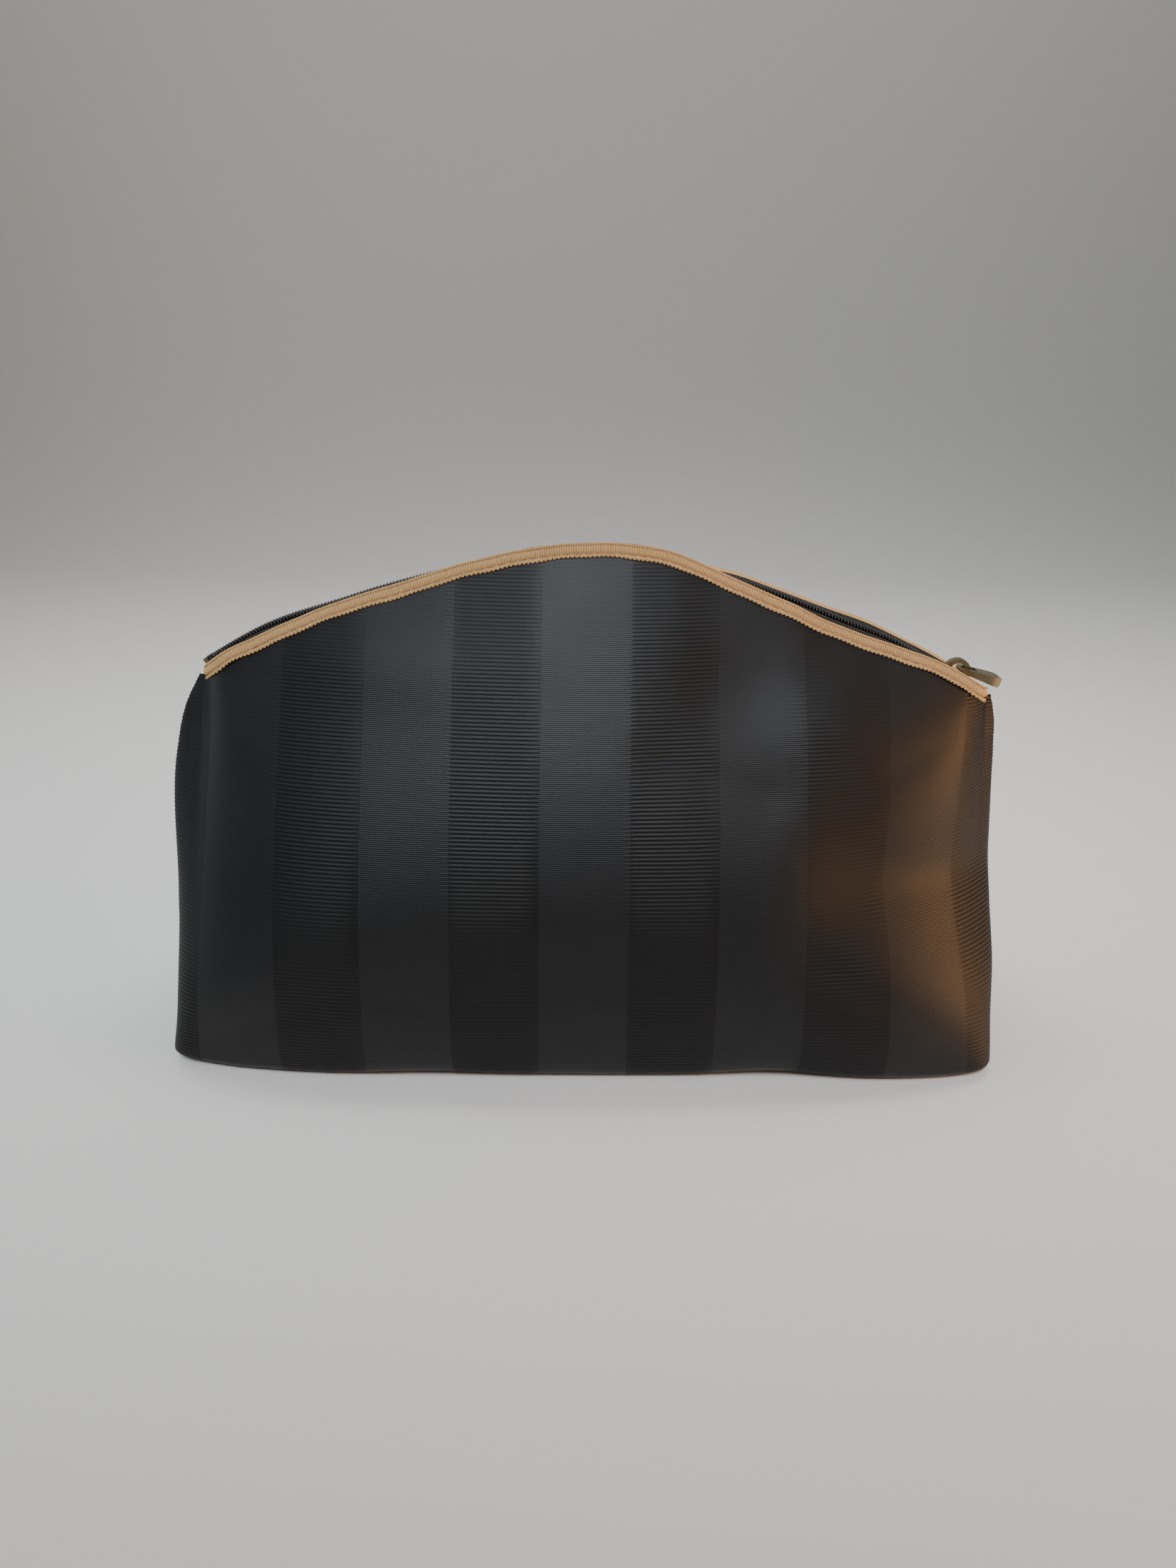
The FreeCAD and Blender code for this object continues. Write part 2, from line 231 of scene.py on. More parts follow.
def front_dents(x, z):
    """How far the front is pushed in, at each (x, z)."""
    return (
        facet(x, z, ((0.066, 0.078), (0.115, 0.102)), ((0.118, 0.004), (0.062, 0.044)), 0.40)
        + fold(x, z, (0.112, 0.100), (0.066, 0.079), 0.0085, 0.0012)
        + fold(x, z, (0.060, 0.082), (0.014, 0.098), 0.0090, 0.0016)
        + fold(x, z, (0.058, 0.046), (0.117, 0.006), 0.0095, 0.0015)
        + fold(x, z, (-0.121, 0.006), (-0.070, 0.030), 0.0090, 0.0018)
        + fold(x, z, (-0.072, 0.030), (-0.040, 0.026), 0.0080, 0.0008)
        + dent(x, z, (0.040, 0.112), (0.020, 0.014), 0.0018)
        + dent(x, z, (0.070, 0.104), (0.014, 0.012), -0.0014)
        + dent(x, z, (-0.060, 0.118), (0.030, 0.010), -0.0010)
        + dent(x, z, (-0.015, 0.036), (0.060, 0.012), 0.0012)
        + dent(x, z, (-0.105, 0.080), (0.018, 0.030), 0.0016)
    )


def back_dents(x, z):
    """The same for the back, which nothing has pressed as hard."""
    return (
        fold(x, z, (-0.112, 0.100), (-0.062, 0.082), 0.0080, 0.0032)
        + fold(x, z, (0.118, 0.008), (0.066, 0.032), 0.0080, 0.0046)
        + fold(x, z, (-0.118, 0.008), (-0.074, 0.036), 0.0080, 0.0040)
        + fold(x, z, (0.020, 0.060), (0.070, 0.078), 0.0095, 0.0018)
        + dent(x, z, (-0.030, 0.060), (0.035, 0.025), 0.0020)
        + dent(x, z, (0.060, 0.112), (0.025, 0.012), 0.0014)
    )


def base_lift(x, side):
    """How far the edge of the base stands clear of the floor, here and there."""
    if side == "front":
        return (
            0.0015 * np.exp(-((x - 0.056) / 0.016) ** 2) + 0.0011 * np.exp(-((x + 0.046) / 0.018) ** 2)
            + 0.0016 * smooth((-x - 0.102) / 0.024) + 0.0006 * smooth((x - 0.102) / 0.022)
        )
    return 0.0012 * np.exp(-((x - 0.010) / 0.040) ** 2) + 0.0016 * smooth((np.abs(x) - 0.102) / 0.024)


SIDES = {
    "front": {"sign": -1.0, "drop": FRONT_DROP, "dents": front_dents},
    "back": {"sign": 1.0, "drop": BACK_DROP, "dents": back_dents},
}


def wall_depth(side, x, z):
    """How far a wall stands from the bag's middle, before its sides close and its dents."""
    rise = np.clip(z / mouth_height(x, SIDES[side]["drop"]), 0, 1)
    fullness = 1 - np.clip(np.abs(x) / HALF_WIDTH, 0, 1) ** FULL_SQUARE
    swell = SWELL_SIDE + (SWELL - SWELL_SIDE) * fullness
    face = mouth_face(x, MOUTH_CLOSING + CLOSING_BELOW * (1 - rise))
    straight = curve_through(BASE_EDGE, x) * (1 - rise) + face * rise
    return straight + swell * np.sin(math.pi * rise ** SWELL_LOW)


def squared_arc(square, count):
    """A squared half circle: how far across and how far out each point is, from -1 to 1 across."""
    corner = 0.5 ** (1 / square)
    front = np.linspace(-corner, corner, count)
    front_out = (1 - np.abs(front) ** square) ** (1 / square)
    side_out = np.linspace(0, corner, count // 3)[:-1]
    side = (1 - side_out ** square) ** (1 / square)
    return np.concatenate([-side, front, side[::-1]]), np.concatenate([side_out, front_out, side_out[::-1]])


def panel_row(side, z, inset, count=900):
    """One level line of a panel, from its left side seam to its right: x, y and the cloth's a."""
    facts = SIDES[side]
    square = SIDE_SQUARE + (BASE_SQUARE - SIDE_SQUARE) * (1 - smooth(z / 0.045))
    across, close = squared_arc(square, count)
    outline = np.where(across < 0, curve_through(LEFT_OUTLINE, z), curve_through(RIGHT_OUTLINE, z))
    round_in = BASE_ROUND - math.sqrt(max(BASE_ROUND ** 2 - max(BASE_ROUND - z, 0.0) ** 2, 0.0))
    x = across * (outline - inset - round_in)
    y = (wall_depth(side, x, z) - round_in - inset) * close
    cave = CAVE * smooth(z / 0.012 + 0.35) * smooth((0.112 - z) / 0.05)
    x = x - np.sign(across) * cave * (1 - close) ** 2
    top = mouth_height(x, facts["drop"])
    y = y - facts["dents"](x, z) * smooth((close - 0.05) / 0.5) * smooth((top - z) / 0.014)
    a = np.concatenate([[0.0], np.cumsum(np.hypot(np.diff(x), np.diff(y)))])
    a = a - np.interp(0.0, x, a)
    return x, facts["sign"] * y, a


def column_places():
    """The a of each column on the front of a panel, with a close pair at every stripe's edge."""
    edges = [STRIPE_EDGE + k * STRIPE for k in range(-4, 6)]
    places = set()
    for low, high in zip([-FRONT_COLUMNS] + edges, edges + [FRONT_COLUMNS]):
        if high - low < COLUMN_STEP / 4:
            continue
        steps = max(1, round((high - low) / COLUMN_STEP))
        places.update(np.round(np.linspace(low, high, steps + 1), 6))
    inside = [e for e in edges if abs(e) < FRONT_COLUMNS]
    places.update(round(e + 0.0004, 6) for e in inside)
    return np.array(sorted(p for p in places if abs(p) <= FRONT_COLUMNS + 1e-9))


def row_heights(side, step):
    """Heights whose spacing along the bulging cloth is step, and the cloth's b at each."""
    z = np.linspace(0.0, COIL_HIGH.z + 0.004, 1500)
    out = np.array([abs(np.interp(0.0, *panel_row(side, v, 0.0, 121)[:2])) for v in z[::25]])
    y = np.interp(z, z[::25], out)
    b = np.concatenate([[0.0], np.cumsum(np.hypot(np.diff(z), np.diff(y)))])
    wanted = np.arange(0.0, b[-1], step)
    return np.interp(wanted, b, z), wanted


def panel_grid(side, inset, row_step, front_places, side_count):
    """A panel's wall as a grid of points with their cloth coordinates."""
    heights, bs = row_heights(side, row_step)
    spread = np.linspace(0, 1, side_count + 1)[1:]
    points, cloth = [], []
    for z, b in zip(heights, bs):
        x, y, a = panel_row(side, z, inset)
        left = front_places[0] - spread[::-1] * (front_places[0] - a[0])
        right = front_places[-1] + spread * (a[-1] - front_places[-1])
        wanted = np.concatenate([left, front_places, right])
        xs, ys = np.interp(wanted, a, x), np.interp(wanted, a, y)
        lift = base_lift(xs, side) * (1 - smooth(z / 0.02))
        points.append(np.stack([xs, ys, np.maximum(z, inset) + lift], 1))
        cloth.append(np.stack([wanted, np.full_like(wanted, b)], 1))
    return np.array(points), np.array(cloth)


def stripe_mask(a):
    """1 on a ribbed stripe, 0 on a plain one."""
    phase = ((a - STRIPE_EDGE) / STRIPE) % 2.0
    return (phase > 1.0).astype(float)


def grid_normals(points):
    du = np.gradient(points, axis=1)
    dv = np.gradient(points, axis=0)
    n = np.cross(du, dv)
    return n / np.maximum(np.linalg.norm(n, axis=2, keepdims=True), 1e-12)


def add_mesh(name, verts, faces, cloth=None):
    mesh = bpy.data.meshes.new(name)
    mesh.from_pydata([tuple(v) for v in verts], [], faces)
    if cloth is not None:
        layer = mesh.attributes.new("cloth", "FLOAT_VECTOR", "POINT")
        flat = np.zeros((len(verts), 3), np.float32)
        flat[:, :2] = cloth
        layer.data.foreach_set("vector", flat.ravel())
    mesh.validate()
    mesh.update()
    piece = bpy.data.objects.new(name, mesh)
    bpy.context.scene.collection.objects.link(piece)
    return piece


def apply_modifiers(piece):
    """Makes the modifiers' result the piece's own mesh."""
    graph = bpy.context.evaluated_depsgraph_get()
    mesh = bpy.data.meshes.new_from_object(piece.evaluated_get(graph))
    piece.modifiers.clear()
    piece.data = mesh


def weld(piece, distance=1e-6):
    weld_modifier = piece.modifiers.new("weld", "WELD")
    weld_modifier.merge_threshold = distance
    apply_modifiers(piece)


def shade_smooth(piece):
    piece.data.polygons.foreach_set("use_smooth", [True] * len(piece.data.polygons))
    return piece


def thicken(piece, thickness, offset=-1.0):
    solid = piece.modifiers.new("thickness", "SOLIDIFY")
    solid.thickness = thickness
    solid.offset = offset
    solid.use_even_offset = False
    apply_modifiers(piece)


def quad_faces(rows, columns, flip):
    i = np.arange((rows - 1) * (columns - 1))
    start = (i // (columns - 1)) * columns + i % (columns - 1)
    quads = np.stack([start, start + 1, start + columns + 1, start + columns], 1)
    return quads[:, ::-1] if flip else quads


def with_ribs(side, wall, cloth, inset):
    """A wall's points, moved in and out along the ribs of its ribbed stripes."""
    normals = grid_normals(wall) * (1.0 if side == "front" else -1.0)
    wave = np.cos(2 * math.pi * cloth[..., 1] / RIB_PITCH)
    lift = RIB_HEIGHT * wave * stripe_mask(cloth[..., 0])
    fade = smooth(wall[..., 2] / RIB_FADE)[..., None]
    wall = wall + normals * (lift[..., None] * fade)
    wall[..., 2] = np.maximum(wall[..., 2], inset)
    return wall


def base_half(foot, foot_cloth, inset):
    """Half of the base, from the seam along its middle out to the foot of a wall."""
    spine_half = HALF_WIDTH - BASE_SEAM_SHORT
    reach = np.clip(foot[:, 0], -spine_half, spine_half)
    past = foot[:, 0] - reach
    spine = np.stack([reach + past * BASE_CORNER_TUCK, np.zeros(len(foot)), np.full(len(foot), inset)], 1)
    base, base_cloth = [], []
    for k in range(BASE_ROWS, 0, -1):
        t = k / BASE_ROWS
        points = foot * (1 - t) + spine * t
        points[:, 2] = inset + (foot[:, 2] - inset) * (1 - smooth(t * 3))
        base.append(points)
        gone = np.linalg.norm(points - foot, axis=1)
        base_cloth.append(np.stack([foot_cloth[:, 0], -gone], 1))
    return np.array(base), np.array(base_cloth)


def cloth_piece(name, side, inset, thickness, row_step, places, side_count, ribs, trim):
    """A panel or its lining: wall and half of the base, cut along the mouth, with real thickness."""
    facts = SIDES[side]
    wall, wall_cloth = panel_grid(side, inset, row_step, places, side_count)
    if ribs:
        wall = with_ribs(side, wall, wall_cloth, inset)
    base, base_cloth = base_half(wall[0], wall_cloth[0], inset)
    points = np.concatenate([base, wall])
    cloth = np.concatenate([base_cloth, wall_cloth])
    flat, flat_cloth = points.reshape(-1, 3), cloth.reshape(-1, 2)
    faces = quad_faces(*points.shape[:2], side == "back")
    middle = flat[faces].mean(axis=1)
    edge = mouth_height(np.clip(middle[:, 0], MOUTH_LEFT, MOUTH_RIGHT), facts["drop"]) - trim
    kept = faces[middle[:, 2] < edge]
    used = np.unique(kept)
    index = np.zeros(len(flat), int)
    index[used] = np.arange(len(used))
    piece = add_mesh(name, flat[used], index[kept].tolist(), flat_cloth[used])
    weld(piece, 2e-6)
    thicken(piece, thickness)
    return shade_smooth(piece)


# ---- pieces that follow the mouth ----
def mouth_path(side, spacing, reach=MOUTH_REACH):
    """Points along a panel's mouth edge, evenly spaced, with the directions up and out, and the lengths."""
    facts = SIDES[side]
    turn = np.linspace(-1, 1, 4001)
    x = MOUTH_MIDDLE + reach * np.sin(turn * math.pi / 2)
    y = facts["sign"] * mouth_face(x)
    z = mouth_height(x, facts["drop"])
    points = np.stack([x, y, z], 1)
    length = np.concatenate([[0], np.cumsum(np.linalg.norm(np.diff(points, axis=0), axis=1))])
    count = int(length[-1] / spacing)
    wanted = np.linspace(0, length[-1], count + 1)
    points = np.stack([np.interp(wanted, length, points[:, i]) for i in range(3)], 1)
    along = np.gradient(points, axis=0)
    along /= np.linalg.norm(along, axis=1, keepdims=True)
    below = points[:, 2] - RIBBON_DOWN
    lean = (wall_depth(side, points[:, 0], below) - np.abs(points[:, 1])) / RIBBON_DOWN
    lean = (lean + 0.02) * (1 - mouth_ends(points[:, 0]))
    up = np.stack([np.zeros(len(points)), -facts["sign"] * lean, np.ones(len(points))], 1)
    up -= (up * along).sum(1, keepdims=True) * along
    up /= np.linalg.norm(up, axis=1, keepdims=True)
    out = np.cross(along, up) if side == "front" else np.cross(up, along)
    return points, up, out, wanted


def sweep(name, rings, cloth=None):
    """A solid through a list of closed rings of points, capped at both ends."""
    rings = np.array(rings)
    count, size = rings.shape[:2]
    faces = []
    for i in range(count - 1):
        for k in range(size):
            j = (k + 1) % size
            quad = [i * size + k, i * size + j, (i + 1) * size + j, (i + 1) * size + k]
            faces.append(quad)
    faces.append(list(range(size))[::-1])
    faces.append([(count - 1) * size + k for k in range(size)])
    return add_mesh(name, rings.reshape(-1, 3), faces, cloth)


def fix_normals(piece):
    mesh = bmesh.new()
    mesh.from_mesh(piece.data)
    bmesh.ops.recalc_face_normals(mesh, faces=mesh.faces)
    mesh.to_mesh(piece.data)
    mesh.free()
    return piece


def binding(side):
    """Grosgrain ribbon folded over the mouth edge: picots, a stitched groove, ribs and a rolled top."""
    points, up, out, s = mouth_path(side, GROSGRAIN_PITCH / 5)
    rib = GROSGRAIN_HEIGHT * np.cos(2 * math.pi * s / GROSGRAIN_PITCH)
    picot = PICOT_HEIGHT * np.abs(np.sin(math.pi * s / PICOT_PITCH))
    wobble = 0.00012 * np.sin(s / 0.0061) + 0.00010 * np.sin(s / 0.0023 + 1.0)
    stack = PANEL_THICK + LINING_THICK
    # (out, up, how much of the ribs it takes, how much of the picots)
    profile = [
        (0.00022, -0.00410, 0.0, 1.0), (0.00052, -0.00405, 0.3, 1.0), (0.00060, -0.00375, 0.6, 0.5),
        (0.00052, -0.00350, 0.6, 0.2), (0.00008, -0.00336, 0.3, 0.0), (0.00006, -0.00310, 0.3, 0.0),
        (0.00056, -0.00292, 1.0, 0.0), (0.00066, -0.00250, 1.0, 0.0), (0.00068, -0.00190, 1.0, 0.0),
        (0.00064, -0.00136, 1.0, 0.0), (0.00054, -0.00112, 1.0, 0.0), (0.00008, -0.00100, 0.3, 0.0),
        (0.00008, -0.00080, 0.3, 0.0), (0.00060, -0.00064, 0.8, 0.0), (0.00062, -0.00036, 0.8, 0.0),
        (0.00040, -0.00012, 0.8, 0.0), (0.0, 0.0, 0.8, 0.0), (-0.00070, 0.00004, 0.8, 0.0),
        (-stack + 0.0002, -0.00020, 0.8, 0.0), (-stack - 0.00030, -0.00060, 0.8, 0.0),
        (-stack - RIBBON, -0.00110, 0.8, 0.0), (-stack - RIBBON, -0.00390, 0.8, 0.3),
        (-stack, -0.00390, 0.0, 0.3), (-stack, -0.00075, 0.0, 0.0), (0.0, -0.00075, 0.0, 0.0),
    ]
    rings = []
    for n, u, ribs, picots in profile:
        direction = 1.0 if n >= -0.0004 else -1.0
        push = n + direction * rib * ribs
        rise = u - picot * picots + wobble * (0.4 + picots)
        rings.append(points + out * push[:, None] + up * rise[:, None])
    rings = np.array(rings).transpose(1, 0, 2)
    rises = np.array([row[1] for row in profile])
    cloth = np.stack([np.repeat(s, len(profile)), np.tile(rises, len(s))], 1)
    return shade_smooth(fix_normals(sweep(side + "_ribbon", rings, cloth)))


def coil_centre(x):
    """Height of the coil's middle: it sags a little where the mouth edges do, away from its ends."""
    share = 0.28 + 0.17 * smooth(-x / 0.03)
    sag = share * np.clip(curve_through(FRONT_DROP, x), 0, 1) * smooth((0.100 - np.abs(x)) / 0.03)
    return arc_height(x, COIL_ARC) - sag


def zip_path(spacing, low, high):
    x = np.linspace(low, high, 3001)
    points = np.stack([x, np.zeros_like(x), coil_centre(x)], 1)
    length = np.concatenate([[0], np.cumsum(np.linalg.norm(np.diff(points, axis=0), axis=1))])
    wanted = np.arange(0, length[-1], spacing)
    points = np.stack([np.interp(wanted, length, points[:, i]) for i in range(3)], 1)
    along = np.gradient(points, axis=0)
    along /= np.linalg.norm(along, axis=1, keepdims=True)
    up = np.cross(along, np.array([0.0, 1.0, 0.0]))
    up *= np.sign(up[:, 2:3])
    return points, up, wanted


def coil(side):
    """One coil: a flattened helix of round wire whose heads lie between the other coil's."""
    sign = SIDES[side]["sign"]
    points, up, s = zip_path(COIL_PITCH / COIL_STEPS, COIL_LOW.x, COIL_HIGH.x)
    shift = 0.0 if side == "front" else 0.5
    turn = 2 * math.pi * (s / COIL_PITCH + shift)
    middle, reach, half_high = 0.00120, 0.00170, 0.00052
    y = sign * (middle + reach * np.cos(turn))
    z = half_high * np.sin(turn) * sign
    centre = points + up * z[:, None]
    centre[:, 1] += y
    return tube(side + "_zip_coil", centre, COIL_WIRE, 6)


def tube(name, centre, radius, sides):
    """A round tube along points."""
    along = np.gradient(centre, axis=0)
    along /= np.linalg.norm(along, axis=1, keepdims=True)
    ref = np.array([0.0, 0.0, 1.0])
    u = np.cross(along, ref)
    u /= np.maximum(np.linalg.norm(u, axis=1, keepdims=True), 1e-9)
    v = np.cross(u, along)
    angles = np.arange(sides) * 2 * math.pi / sides
    rings = np.stack([centre + radius * (math.cos(t) * u + math.sin(t) * v) for t in angles], 1)
    return shade_smooth(fix_normals(sweep(name, rings)))


def tape(side):
    """A zip tape: flat under the coil, then up the inside of the binding to its rolled top."""
    facts = SIDES[side]
    x = np.linspace(COIL_LOW.x - 0.001, COIL_HIGH.x + 0.0015, 360)
    low = coil_centre(x) - COIL_THICK / 2 - 0.0001
    top = np.maximum(mouth_height(x, facts["drop"]) - 0.0004, low + 0.0006)
    face = mouth_face(x) - PANEL_THICK - LINING_THICK - RIBBON - 0.0001
    inner = np.minimum(face - 0.0005, 0.0043)
    start = np.full_like(x, 0.0004)
    section = [
        (start, low), (inner - 0.0004, low), (inner, low + 0.0004), (inner + 0.0002, top), (face, top),
        (face, low - 0.0003), (start, low - 0.0004),
    ]
    rings = [np.stack([x, facts["sign"] * y, z], 1) for y, z in section]
    return fix_normals(sweep(side + "_tape", np.array(rings).transpose(1, 0, 2)))


def stitches(name, side, down, out_by, length, gap, radius):
    """A row of stitches lying in a groove of the binding: one small capsule each."""
    points, up, out, s = mouth_path(side, 0.0004, MOUTH_REACH - 0.002)
    verts, faces = [], []
    around, ends = 6, 5
    position = gap
    while position + length < s[-1]:
        at = position + length * np.linspace(0, 1, ends)
        bulge = np.sqrt(np.clip(1 - np.linspace(-1, 1, ends) ** 4, 0.12, 1))
        start = len(verts)
        for place, size in zip(at, bulge):
            p = np.array([np.interp(place, s, points[:, i]) for i in range(3)])
            n = np.array([np.interp(place, s, out[:, i]) for i in range(3)])
            u = np.array([np.interp(place, s, up[:, i]) for i in range(3)])
            centre = p + n * (out_by - radius * (1 - size)) - u * down
            for k in range(around):
                t = 2 * math.pi * k / around
                verts.append(centre + radius * size * (math.cos(t) * n + math.sin(t) * u))
        for i in range(ends - 1):
            for k in range(around):
                j = (k + 1) % around
                a, b = start + i * around, start + (i + 1) * around
                faces.append([a + k, a + j, b + j, b + k])
        faces.append([start + k for k in range(around)][::-1])
        faces.append([start + (ends - 1) * around + k for k in range(around)])
        position += length + gap
    return shade_smooth(fix_normals(add_mesh(name, verts, faces)))


# ---- materials ----
class Nodes:
    """Short names for building a material's node tree."""

    def __init__(self, name):
        self.material = bpy.data.materials.new(name)
        self.material.use_nodes = True
        self.tree = self.material.node_tree
        self.shader = self.tree.nodes["Principled BSDF"]

    def add(self, kind, **settings):
        node = self.tree.nodes.new(kind)
        for key, value in settings.items():
            setattr(node, key, value)
        return node

    def link(self, a, b):
        self.tree.links.new(a, b)

    def math(self, operation, a, b=None, clamp=False):
        node = self.add("ShaderNodeMath", operation=operation, use_clamp=clamp)
        for socket, value in zip(node.inputs, (a, b)):
            if value is None:
                continue
            if isinstance(value, (int, float)):
                socket.default_value = value
            else:
                self.link(value, socket)
        return node.outputs[0]

    def cloth(self):
        """The cloth's a and b at this point."""
        source = self.add("ShaderNodeAttribute", attribute_name="cloth")
        split = self.add("ShaderNodeSeparateXYZ")
        self.link(source.outputs["Vector"], split.inputs[0])
        return source.outputs["Vector"], split.outputs[0], split.outputs[1]

    def place(self):
        return self.add("ShaderNodeTexCoord").outputs["Object"]

    def noise(self, vector, scale, detail=3.0, roughness=0.55):
        node = self.add("ShaderNodeTexNoise")
        self.link(vector, node.inputs["Vector"])
        node.inputs["Scale"].default_value = scale
        node.inputs["Detail"].default_value = detail
        node.inputs["Roughness"].default_value = roughness
        return node.outputs["Fac"]

    def ramp(self, value, stops):
        node = self.add("ShaderNodeValToRGB")
        self.link(value, node.inputs[0])
        while len(node.color_ramp.elements) < len(stops):
            node.color_ramp.elements.new(0.5)
        for element, (position, colour) in zip(node.color_ramp.elements, stops):
            element.position = position
            element.color = (*colour, 1.0)
        return node.outputs[0]

    def mix(self, factor, a, b):
        node = self.add("ShaderNodeMix", data_type="RGBA")
        for socket, value in ((node.inputs[0], factor), (node.inputs[6], a), (node.inputs[7], b)):
            if isinstance(value, (int, float)):
                socket.default_value = value
            elif isinstance(value, tuple):
                socket.default_value = (*value, 1.0)
            else:
                self.link(value, socket)
        return node.outputs[2]

    def bump(self, height, distance, strength=1.0, after=None):
        node = self.add("ShaderNodeBump")
        node.inputs["Strength"].default_value = strength
        node.inputs["Distance"].default_value = distance
        self.link(height, node.inputs["Height"])
        if after is not None:
            self.link(after, node.inputs["Normal"])
        return node.outputs[0]

    def spot(self, a, b, place, size):
        """1 at a place on the cloth, fading to 0 over size."""
        across = self.math("DIVIDE", self.math("SUBTRACT", a, place[0]), size[0])
        up = self.math("DIVIDE", self.math("SUBTRACT", b, place[1]), size[1])
        squares = self.math("ADD", self.math("MULTIPLY", across, across), self.math("MULTIPLY", up, up))
        return self.math("SUBTRACT", 1.0, squares, clamp=True)

    def wave(self, value, pitch):
        """A sine of value with this pitch, from 0 to 1."""
        turns = self.math("MULTIPLY", value, 2 * math.pi / pitch)
        return self.math("MULTIPLY_ADD", self.math("SINE", turns), 0.5)

    def set(self, name, value):
        socket = self.shader.inputs[name]
        if isinstance(value, (int, float)):
            socket.default_value = value
        elif isinstance(value, tuple):
            socket.default_value = (*value, 1.0)
        else:
            self.link(value, socket)


def jacquard_material():
    """Coated black jacquard: ribbed and plain stripes, fine weave, scuffs and specks of lint."""
    n = Nodes("jacquard")
    vector, a, b = n.cloth()
    shifted = n.math("DIVIDE", n.math("SUBTRACT", a, STRIPE_EDGE), 2 * STRIPE)
    phase = n.math("FRACT", n.math("ADD", shifted, 8.0))
    ribbed = n.math("GREATER_THAN", phase, 0.5)
    plain = n.math("SUBTRACT", 1.0, ribbed)
    weft = n.wave(b, WEAVE_PITCH)
    warp = n.wave(a, WEAVE_PITCH * 1.15)
    twill = n.wave(n.math("ADD", a, n.math("MULTIPLY", b, 0.5)), WEAVE_PITCH)
    crossed = n.math("MULTIPLY", n.math("MULTIPLY", warp, twill), 0.38)
    weave = n.math("ADD", n.math("MULTIPLY", weft, 0.62), crossed)
    fine = n.wave(a, 0.00042)
    rib_weave = n.math("MULTIPLY", fine, 0.30)
    height = n.math("ADD", n.math("MULTIPLY", weave, plain), n.math("MULTIPLY", rib_weave, ribbed))
    cloudy = n.noise(vector, 55.0, 4.0)
    grain = n.noise(vector, 1900.0, 2.0)
    rubbed = n.ramp(n.noise(vector, 210.0, 6.0, 0.7), [(0.62, (0, 0, 0)), (0.78, (1, 1, 1))])
    base = n.mix(cloudy, (0.0056, 0.0060, 0.0067), (0.0092, 0.0098, 0.0108))
    base = n.mix(n.math("MULTIPLY", ribbed, 0.9), base, (0.0018, 0.0020, 0.0024))
    base = n.mix(n.math("MULTIPLY", rubbed, 0.06), base, (0.07, 0.07, 0.073))
    specks = n.ramp(n.noise(vector, 760.0, 2.0, 0.6), [(0.80, (0, 0, 0)), (0.84, (1, 1, 1))])
    base = n.mix(n.math("MULTIPLY", specks, 0.35), base, (0.30, 0.29, 0.27))
    broken = n.ramp(n.noise(vector, 420.0, 5.0, 0.65), [(0.46, (0, 0, 0)), (0.60, (1, 1, 1))])
    worn = n.math("MULTIPLY", n.spot(a, b, (-0.124, 0.001), (0.010, 0.006)), broken)
    base = n.mix(n.math("MULTIPLY", worn, 0.7), base, (0.16, 0.15, 0.135))
    smudge = n.math("MULTIPLY", n.spot(a, b, (-0.068, 0.009), (0.010, 0.005)), broken)
    base = n.mix(smudge, base, (0.002, 0.002, 0.002))
    n.set("Base Color", base)
    rough = n.math("ADD", 0.36, n.math("MULTIPLY", cloudy, 0.10))
    rough = n.math("ADD", rough, n.math("MULTIPLY", grain, 0.06))
    rough = n.math("ADD", rough, n.math("MULTIPLY", ribbed, 0.04))
    n.set("Roughness", rough)
    n.set("Specular IOR Level", 0.29)
    first = n.bump(height, 0.00006, 0.8)
    n.set("Normal", n.bump(grain, 0.00004, 0.5, first))
    return n.material


def lining_material():
    """Plain black woven lining."""
    n = Nodes("lining")
    vector, a, b = n.cloth()
    weave = n.math("MULTIPLY", n.wave(a, 0.0007), n.wave(b, 0.0007))
    cloudy = n.noise(vector, 70.0, 4.0)
    n.set("Base Color", n.mix(cloudy, (0.012, 0.012, 0.013), (0.024, 0.024, 0.026)))
    n.set("Roughness", n.math("ADD", 0.62, n.math("MULTIPLY", cloudy, 0.2)))
    n.set("Sheen Weight", 0.25)
    n.set("Normal", n.bump(weave, 0.00012, 0.8))
    return n.material


def ribbon_material():
    """Beige grosgrain: threads across, with painted shade in the grooves between its ribs and in its hollows,
    and worn and stained patches.
    """
    n = Nodes("grosgrain")
    vector = n.place()
    blotch = n.noise(vector, 60.0, 5.0, 0.6)
    fibre = n.noise(vector, 2600.0, 3.0, 0.6)
    stain = n.ramp(n.noise(vector, 130.0, 4.0, 0.65), [(0.60, (0, 0, 0)), (0.76, (1, 1, 1))])
    base = n.mix(blotch, (0.49, 0.292, 0.112), (0.62, 0.392, 0.168))
    base = n.mix(n.math("MULTIPLY", stain, 0.35), base, (0.24, 0.15, 0.10))
    base = n.mix(n.math("MULTIPLY", fibre, 0.30), base, (0.70, 0.46, 0.205))
    # painted shade: the colour darkens between the grosgrain ribs, in the grooves where shade falls
    along = n.math("ADD", n.cloth()[1], GROSGRAIN_PITCH / 4)
    between = n.math("SUBTRACT", 1.0, n.wave(along, GROSGRAIN_PITCH))
    base = n.mix(n.math("MULTIPLY", between, 0.55), base, (0.27, 0.150, 0.072))
    # painted shade: the colour darkens where the surface is hollow, found by its pointiness
    pits = n.add("ShaderNodeNewGeometry").outputs["Pointiness"]
    hollow = n.ramp(pits, [(0.44, (1, 1, 1)), (0.50, (0, 0, 0))])
    base = n.mix(n.math("MULTIPLY", hollow, 0.55), base, (0.22, 0.115, 0.060))
    n.set("Base Color", base)
    n.set("Roughness", n.math("ADD", 0.70, n.math("MULTIPLY", fibre, 0.15)))
    n.set("Specular IOR Level", 0.3)
    n.set("Normal", n.bump(fibre, 0.00010, 0.6))
    return n.material


